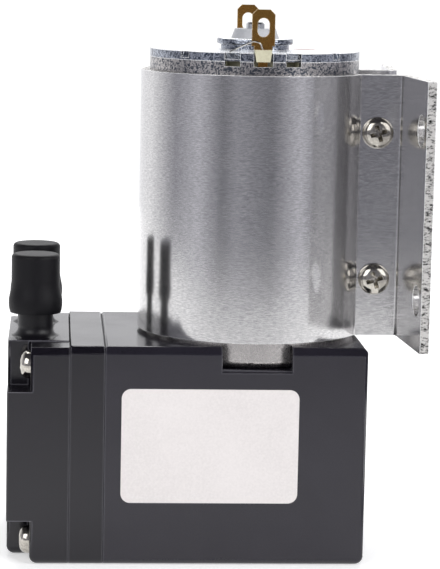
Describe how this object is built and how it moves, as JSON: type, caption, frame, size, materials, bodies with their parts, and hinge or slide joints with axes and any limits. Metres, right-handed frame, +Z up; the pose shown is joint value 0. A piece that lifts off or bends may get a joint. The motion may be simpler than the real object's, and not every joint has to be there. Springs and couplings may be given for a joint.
{
  "type": "diaphragm vacuum pump",
  "caption": "Small DC diaphragm vacuum pump: upright motor in a sheet clamp bracket with foot flanges, on a moulded housing with a capped two-nozzle head.",
  "frame": {"origin": "on the motor axis at the underside of the housing", "axes": "+Z up along the motor, -X from the motor to the pump head, +X to the mounting flanges, -Y towards the side with the label"},
  "size_m": [0.0687, 0.0566, 0.0928],
  "materials": {
    "housing_plastic": "fine moulded texture",
    "cap_rubber": "matte moulded rubber",
    "valve_rubber": "smooth",
    "bracket_aluminium": "brushed round the wrap",
    "zinc_steel": "zinc plated with fine spangle",
    "screw_steel": "nickel plated",
    "bearing_steel": "polished",
    "bright_steel": "ground",
    "brass": "dull",
    "bronze": "sintered",
    "copper": "enamelled wire",
    "ivory_plastic": "smooth moulded",
    "grey_plastic": "smooth moulded",
    "ferrite": "matt",
    "laminated_steel": "stacked sheets",
    "carbon": "matt",
    "die_cast": "as cast",
    "label_vinyl": "satin sticker"
  },
  "bodies": {
    "pump": {"crankcase": "housing_plastic", "bottom_cover": "housing_plastic", "bottom_cover_screws": "screw_steel", "valve_plate": "housing_plastic", "inlet_valve": "valve_rubber", "outlet_valve": "valve_rubber", "head_gasket": "valve_rubber", "head_cover": "housing_plastic", "head_screws": "screw_steel", "inlet_nozzle": "housing_plastic", "outlet_nozzle": "housing_plastic", "diaphragm": "valve_rubber", "motor_can": "zinc_steel", "motor_end_plate": "zinc_steel", "brush_holder": "ivory_plastic", "front_terminal": "brass", "rear_terminal": "brass", "lower_bush": "bronze", "upper_bush": "bronze", "shaft_collar": "grey_plastic", "magnets": "ferrite", "brushes": "carbon", "motor_screws": "screw_steel", "suppressor_lead": "bright_steel", "bracket": "bracket_aluminium", "bracket_screws": "screw_steel", "bracket_nuts": "screw_steel", "label": "label_vinyl"},
    "rotor": {"shaft": "bright_steel", "armature_core": "laminated_steel", "windings": "copper", "commutator": "copper", "eccentric": "bright_steel", "set_screw": "screw_steel", "pin_screw": "screw_steel", "bearing_inner_ring": "bearing_steel", "bearing_balls": "bearing_steel", "bearing_cage": "brass"},
    "rod": {"connecting_rod": "die_cast", "bearing_outer_ring": "bearing_steel", "clamp_disc": "die_cast", "diaphragm_screw": "screw_steel"},
    "inlet_cap": {"inlet_cap": "cap_rubber"},
    "outlet_cap": {"outlet_cap": "cap_rubber"}
  },
  "joints": [
    {"name": "rotor_spin", "type": "hinge", "parent": "pump", "child": "rotor", "pos_m": [0, 0, 0.0185], "axis": [0, 0, 1], "continuous": true, "deforming": ["diaphragm"]},
    {"name": "rod_swing", "type": "hinge", "parent": "rotor", "child": "rod", "pos_m": [0.0014, 0, 0.0185], "axis": [0, 0, 1], "continuous": true},
    {"name": "inlet_cap_pull", "type": "slide", "parent": "pump", "child": "inlet_cap", "axis": [0, 0, 1], "range_m": [0, 0.012]},
    {"name": "outlet_cap_pull", "type": "slide", "parent": "pump", "child": "outlet_cap", "axis": [0, 0, 1], "range_m": [0, 0.012]}
  ],
  "couplings": [
    {"joint": "rod_swing", "follows": "rotor_spin", "ratio": -1}
  ]
}
